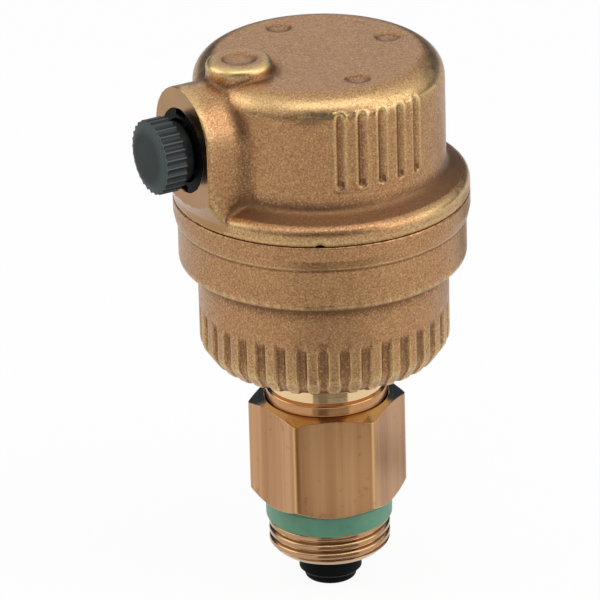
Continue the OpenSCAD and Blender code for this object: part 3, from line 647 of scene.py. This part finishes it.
def make_cap():
    """Ribbed screw cap of the side outlet, with its sleeve behind."""
    z_bevel = CAP_FRONT - CAP_BEVEL
    line = rounded([
        (0, CAP_FLOOR, 0), (CAP_BORE_R, CAP_FLOOR, 0), (CAP_BORE_R, CAP_SLEEVE, 0.1),
        (CAP_SLEEVE_R, CAP_SLEEVE, 0.15), (CAP_SLEEVE_R, CAP_BACK, 0.1), (CAP_R, CAP_BACK, 0.12),
        (CAP_R, z_bevel, 0.15), (CAP_R - CAP_BEVEL_W, CAP_FRONT - CAP_DOME, 1.6), (0, CAP_FRONT, 0)],
        0.1, closed=False)
    angles = np.linspace(0, 2 * math.pi, CAP_RIBS * CAP_RIB_COLUMNS, endpoint=False)
    r, z = line[:, 0, None], line[:, 1, None]
    flute = np.sqrt(np.sin(angles * CAP_RIBS / 2) ** 2 + CREST_BLUNT)[None, :] - CREST_DROP
    radius = r - CAP_FLUTE * flute * smoothstep(CAP_R - 0.58, CAP_R - 0.1, r)
    piece = turned("outlet_cap", radius, z + 0 * angles[None, :], angles, closed=False)
    # Crests and bevel are painted paler, as highlights
    x, y, z = (numbers(piece.data.vertices, "co", 3) / MM).T
    from_axis = np.hypot(x, y)
    crest_highlight = hump(from_middle(np.arctan2(y, x), CAP_RIBS), 0, CREST_W) * (from_axis > CAP_R - 0.3)
    bevel_highlight = smoothstep(CAP_R - 2.1, CAP_R - 0.7, from_axis)
    store_edge(piece.data, 0.5 + 0.5 * np.where(z < z_bevel - 0.05, crest_highlight, bevel_highlight))
    middle = numbers(piece.data.polygons, "center", 3) / MM
    lay_finishes(piece, middle[:, 2] > z_bevel)
    # Made along +Z, then turned to point out along the side outlet
    piece.data.transform(Matrix.Translation((0, 0, Z_OUT * MM)) @ Matrix.Rotation(-math.pi / 2, 4, "Y"))
    return dress(piece, "cap", "slate_plastic", SLATE, CAP_FACE, stands_for=["vent_cap"])


def press_grips(co):
    """Presses the two groups of grip flutes into the dome's wall, each a round groove between low lips."""
    x, y, z = co.T
    radius, turn = np.hypot(x, y), np.degrees(np.arctan2(y, x))
    # Degrees from the middle of the nearer group, and the middle of the nearest flute in it
    from_group = (turn + 180) % 180 - 90
    flute = np.clip(np.round(from_group / GRIP_STEP), -2, 2) * GRIP_STEP
    side = radius * np.sin(np.radians(np.abs(from_group - flute)))
    over = np.maximum(np.abs(z - Z_GRIP) - GRIP_H / 2 + GRIP_END, 0)
    side = np.hypot(side, over)
    groove = GRIP_DEPTH * (0.5 + 0.5 * np.cos(math.pi * np.minimum(side / GRIP_HALF_W, 1)))
    lip = GRIP_LIP * hump(side, GRIP_LIP_AT, GRIP_LIP_W)
    crown = np.clip(z - Z_TOP + DOME_ROUND, 0, DOME_ROUND - 0.05)
    wall = DOME_R - DOME_ROUND + np.sqrt(DOME_ROUND ** 2 - crown ** 2)
    near = (np.abs(from_group) < GRIP_SPREAD) & (side < GRIP_REACH)
    on_wall = near & (radius > GRIP_FOOT_R) & (z > Z_GRIP - 7) & (z < Z_TOP - 0.6)
    pressed = soft_min(wall, DOME_R - groove, GRIP_ROUND) + lip * (crown < 1.5)
    share = np.where(on_wall, pressed / radius, 1)
    co[:, 0] *= share
    co[:, 1] *= share


def make_cover():
    """Stamped cover: the solid's shape with the soft edges and hollows of a blasted stamping."""
    mesh = frame["nodes"]["cover"].data.copy()
    piece = bpy.data.objects.new("stamped_cover", mesh)
    bpy.context.scene.collection.objects.link(piece)
    mesh.transform(Matrix.Scale(1 / MM, 4))
    grid = piece.modifiers.new("grid", "REMESH")
    grid.mode = "VOXEL"
    grid.voxel_size = COVER_GRID
    skin = bpy.data.meshes.new_from_object(piece.evaluated_get(bpy.context.evaluated_depsgraph_get()))
    piece.modifiers.clear()
    piece.data = skin
    skin.name = "stamped_cover"
    co = numbers(skin.vertices, "co", 3)
    ends, others, count = neighbours(skin)
    # Edges are softened, with the bore, the seat and the boss face kept true
    x, y, z = co.T.copy()
    radius = np.hypot(x, y)
    in_bore = (radius < COVER_BORE_R) & (z < Z_TOP - COVER_ROOF)
    on_seat = (radius < RIM_SEAT_R) & (z < Z_PART + 0.05)
    faced = x < 0.12 - BOSS_FACE
    soft = np.where(in_bore | on_seat, 0.0, 0.5)[:, None]
    for _ in range(COVER_SOFTENING):
        co += soft * (mean_of_neighbours(co, ends, others, count) - co)
        co[faced, 0] = -BOSS_FACE
    # The line where the boss face meets its turned foot is pulled straight
    x, y, z = co.T.copy()
    crease = Z_FOOT + (np.hypot(BOSS_FACE, y) - RIM_R) / FOOT_SLOPE
    on_boss = (np.abs(x + BOSS_FACE) < COVER_GRID) & (np.abs(y) < BOSS_R)
    on_crease = on_boss & (np.abs(z - crease) < CREASE_REACH)
    co[on_crease, 0] = -BOSS_FACE
    co[on_crease, 2] += CREASE_PULL * (crease - z)[on_crease]
    press_grips(co)
    skin.vertices.foreach_set("co", (co * MM).ravel())
    skin.materials.clear()
    skin.update()
    skin.shade_smooth()
    # Wear and painted light: paler grip grooves, a shoulder rubbed paler as a painted highlight, a dark
    # seam, painted shade and reflections
    x, y, z = co.T
    radius, turn = np.hypot(x, y), np.degrees(np.arctan2(y, x))
    # Painted shade in the trough behind the bead
    trough_shade = smoothstep(TROUGH_R + 0.7, TROUGH_R, radius) * smoothstep(Z_TROUGH + 0.8, Z_TROUGH, z)
    trough_shade *= z > Z_BEAD
    boss_rim = hump(x, -BOSS_FACE, 0.5)
    # Dark reflections painted on the shoulder and the bead where they face the camera
    dark_reflection = np.zeros_like(z)
    for strength, at, spread, level, tall, least in DARK_REFLECTIONS:
        dark_reflection += strength * hump(turn, at, spread) * hump(z, level, tall) * (radius > least)
    # The shoulder is rubbed paler all round, which also paints in its highlight
    shoulder_rub_and_highlight = hump(z, Z_TOP - 1.1, 0.9) * smoothstep(14.5, 15.5, radius)
    seam = hump(z, Z_PART + 0.1, 0.3) * (radius > RIM_SEAT_R)
    grip = (radius > GRIP_FOOT_R) & (radius < DOME_R - 0.12) & (np.abs(z - Z_GRIP) < 5.2) & (np.abs(y) > 13)
    # Painted shade at the grooves' lower ends
    grip_end_shade = grip & (z < Z_GRIP - 4.3)
    mark_edges(piece, 1.3, 0.18 * grip - 0.5 * grip_end_shade - 0.6 * trough_shade - 0.34 * boss_rim - 0.3 * dark_reflection
               + 0.09 * shoulder_rub_and_highlight - 0.4 * seam)
    # The boss face and its turned foot are machined
    normal = numbers(skin.polygons, "normal", 3)
    x, y, z = (numbers(skin.polygons, "center", 3) / MM).T
    foot = RIM_R + FOOT_SLOPE * np.maximum(z - Z_FOOT, 0)
    on_face = (x < 0.1 - BOSS_FACE) & (normal[:, 0] < -0.9)
    on_foot = (np.abs(np.hypot(x, y) - foot) < 0.12) & (np.abs(y) < BOSS_R - 0.1) & (x < -15)
    lay_finishes(piece, on_face | on_foot & (z > Z_PART + 0.5))
    return dress(piece, "vent", "cast_brass", STAMPED, MILLED, stands_for=["cover"])


make_vent_body()
make_check_body()
make_sealing_ring()
make_cap()
make_cover()

FINISH = {
    "drawn_brass": DRAWN, "cast_brass": STAMPED, "green_plastic": GREEN, "black_plastic": BLACK,
    "slate_plastic": SLATE, "white_plastic": WHITE, "black_rubber": RUBBER, "red_silicone": SILICONE,
    "spring_steel": WIRE}
for part in frame["record"]["subparts"]:
    solid = frame["nodes"][part["node"]]
    solid.data.materials.clear()
    solid.data.materials.append(FINISH[part["material_slot"]])


# Camera at the photograph's point of view, fitted to the valve's outline, in millimetres and pixels

AZIMUTH, ELEVATION, ROLL = math.radians(-28.7), math.radians(24.066), math.radians(1.503)
DISTANCE = 934.1
PIXELS_PER_MM = 7.3691
IMAGE = 600
SENSOR = 36
AIM = Vector((0, 0, 30))
AIM_PIXEL = (324.414, 311.435)

back = Vector((math.sin(AZIMUTH) * math.cos(ELEVATION), -math.cos(AZIMUTH) * math.cos(ELEVATION),
               math.sin(ELEVATION)))
level = Vector((math.cos(AZIMUTH), math.sin(AZIMUTH), 0))
rise = back.cross(level)
right = level * math.cos(ROLL) - rise * math.sin(ROLL)
up = level * math.sin(ROLL) + rise * math.cos(ROLL)
aside, below = [(pixel - IMAGE / 2) / PIXELS_PER_MM for pixel in AIM_PIXEL]
centre = AIM - right * aside + up * below
lens = bpy.data.cameras.new("view")
lens.sensor_width = SENSOR
lens.lens = PIXELS_PER_MM * DISTANCE * SENSOR / IMAGE
lens.clip_end = 10
camera = bpy.data.objects.new("view", lens)
camera.matrix_world = (Matrix.Translation((centre + back * DISTANCE) * MM)
                       @ Matrix((right, up, back)).transposed().to_4x4())
bpy.context.scene.collection.objects.link(camera)
bpy.context.scene.camera = camera


# Stage: pale floor, felt that shows only in the metal, white world and soft lamps, in metres

FLOOR, FLOOR_GAP = 3.0, 0.0002
PAPER_GLOW, SKY_LIGHT = 0.94, 0.55
FLAG_R, FLAG_LOW, FLAG_HIGH, FLAG_BACK = 1.4, 0.3, 1.3, 0.85
FLAG_POSTS, FLAG_GAP = 96, 0.02
# Where the flag steps down beside the camera, and up and down again at the back, in radians from the camera
FRONT_DOWN, BACK_UP, BACK_DOWN = (math.radians(16), math.radians(26)), (2.05, 2.3), (2.95, 3.05)
STRIP_LIFT, STRIP_STEP = 0.0003, 2
# Near and far edge of each strip on the floor, and its first and last degree round from the camera's side
STRIPS = ((0.018, 0.032, -20, 46), (0.066, 0.1, -26, 40), (0.036, 0.068, -16, 2), (0.042, 0.053, 110, 122),
          (0.11, 0.16, 130, 150))
# Name, place, aim, width, height and watts of each soft lamp
LAMPS = (("overhead", (-0.046, -0.214, 0.5), (0, 0, 0.05), 0.6, 0.24, 0.8),
         ("left", (-0.60, 0.35, 0.34), (0, 0, 0.04), 0.6, 0.6, 1.5),
         ("right", (0.52, -0.60, 0.32), (0, 0, 0.04), 0.7, 0.7, 2.5))


def stage_piece(name, points, faces, material):
    """A flat piece of the studio, which isn't part of the valve."""
    mesh = bpy.data.meshes.new(name)
    mesh.from_pydata(points, [], faces)
    mesh.materials.append(material)
    made = bpy.data.objects.new(name, mesh)
    bpy.context.scene.collection.objects.link(made)
    return made


def seen_rays(tree):
    """1 for rays from the camera and for those that metal and glass send on, or else 0."""
    path = add_node(tree, "LightPath")
    seen = path.outputs["Is Camera Ray"]
    for ray in ("Is Glossy Ray", "Is Transmission Ray"):
        seen = add_node(tree, "Math", {0: seen, 1: path.outputs[ray]}, operation="MAXIMUM").outputs[0]
    return seen


def pale_paper():
    """White backdrop paper: camera and mirror rays see it as white, and it keeps a faint shadow."""
    material, tree = new_material("paper_backdrop_white")
    share = add_node(tree, "Math", {0: seen_rays(tree), 1: PAPER_GLOW}, operation="MULTIPLY")
    matt = add_node(tree, "BsdfDiffuse", {"Color": linear("#F3F3F3")})
    glow = add_node(tree, "Emission", {"Color": linear("#FFFFFF"), "Strength": 1.0})
    both = add_node(tree, "MixShader", {0: share.outputs[0], 1: matt.outputs[0], 2: glow.outputs[0]})
    add_node(tree, "OutputMaterial", {"Surface": both.outputs[0]})
    return material


def felt(name, dark, light):
    """Felt of the studio's flags, matt and fibrous, which the metal shows as its dark reflections."""
    material, tree = new_material(name)
    place = add_node(tree, "TexCoord").outputs["Object"]
    # Fibre far coarser than real felt's, because the metal shows the flags very small
    fibre = add_node(tree, "TexNoise", {"Vector": place, "Scale": per_mm(60), "Detail": 3})
    tone = add_node(tree, "Mix", {0: fibre.outputs[0], 6: linear(dark), 7: linear(light)}, data_type="RGBA")
    finish_material(tree, Base_Color=tone.outputs[2], Roughness=0.9, Specular_IOR_Level=0.1)
    return material


def around(radius, turns, heights):
    """Points at those turns and heights on a circle round the valve."""
    return [(radius * math.cos(t), radius * math.sin(t), h) for t, h in zip(turns, heights)]


def softbox(name, place, aim, width, height, watts):
    """A soft rectangular lamp that points at its aim."""
    lamp = bpy.data.lights.new(name, "AREA")
    lamp.shape = "RECTANGLE"
    lamp.size = width
    lamp.size_y = height
    lamp.energy = watts
    made = bpy.data.objects.new(name, lamp)
    made.location = place
    made.rotation_euler = (Vector(aim) - Vector(place)).to_track_quat("-Z", "Y").to_euler()
    bpy.context.scene.collection.objects.link(made)


ground = cad_box[0].z - FLOOR_GAP
corners = [(FLOOR * x, FLOOR * y, ground) for x, y in ((-1, -1), (1, -1), (1, 1), (-1, 1))]
stage_piece("floor", corners, [(0, 1, 2, 3)], pale_paper())

# A low felt flag round the set, taller behind the camera and at the back on both sides
camera_side = math.atan2(back.y, back.x)
turns = np.linspace(0, 2 * math.pi, FLAG_POSTS, endpoint=False)
off_camera = np.abs((turns - camera_side + math.pi) % (2 * math.pi) - math.pi)
at_back = smoothstep(*BACK_UP, off_camera) * (1 - smoothstep(*BACK_DOWN, off_camera))
tops = FLAG_LOW + (FLAG_HIGH - FLAG_LOW) * (1 - smoothstep(*FRONT_DOWN, off_camera))
tops += (FLAG_BACK - FLAG_LOW) * at_back
posts = around(FLAG_R, turns, [ground + FLAG_GAP] * FLAG_POSTS) + around(FLAG_R, turns, tops)
panels = [(i, (i + 1) % FLAG_POSTS, FLAG_POSTS + (i + 1) % FLAG_POSTS, FLAG_POSTS + i)
          for i in range(FLAG_POSTS)]
hidden = [stage_piece("flags", posts, panels, felt("felt_woven_blue_grey", "#34465E", "#465C7A"))]

# Strips of felt on the floor, which show in the neck, the sealing ring and the threads
warm_felt = felt("felt_woven_warm_grey", "#7C756E", "#8E8780")
for near, far, first, last in STRIPS:
    turns = [camera_side + math.radians(a) for a in range(first, last + 1, STRIP_STEP)]
    heights = [ground + STRIP_LIFT] * len(turns)
    border = around(far, turns, heights) + around(near, turns[::-1], heights)
    hidden.append(stage_piece("strip", border, [tuple(range(len(border)))], warm_felt))
# Only reflections show the felt
for flag in hidden:
    flag.visible_camera = False
    flag.visible_shadow = False
    flag.visible_diffuse = False

world = bpy.data.worlds.new("studio")
world.use_nodes = True
bpy.context.scene.world = world
sky = world.node_tree
sky.nodes.clear()
power = add_node(sky, "MapRange", {"Value": seen_rays(sky), "To Min": SKY_LIGHT, "To Max": 1.0})
shine = add_node(sky, "Background", {"Color": linear("#FFFFFF"), "Strength": power.outputs[0]})
add_node(sky, "OutputWorld", {"Surface": shine.outputs[0]})

for lamp in LAMPS:
    softbox(*lamp)

bpy.context.scene.view_settings.view_transform = "Standard"
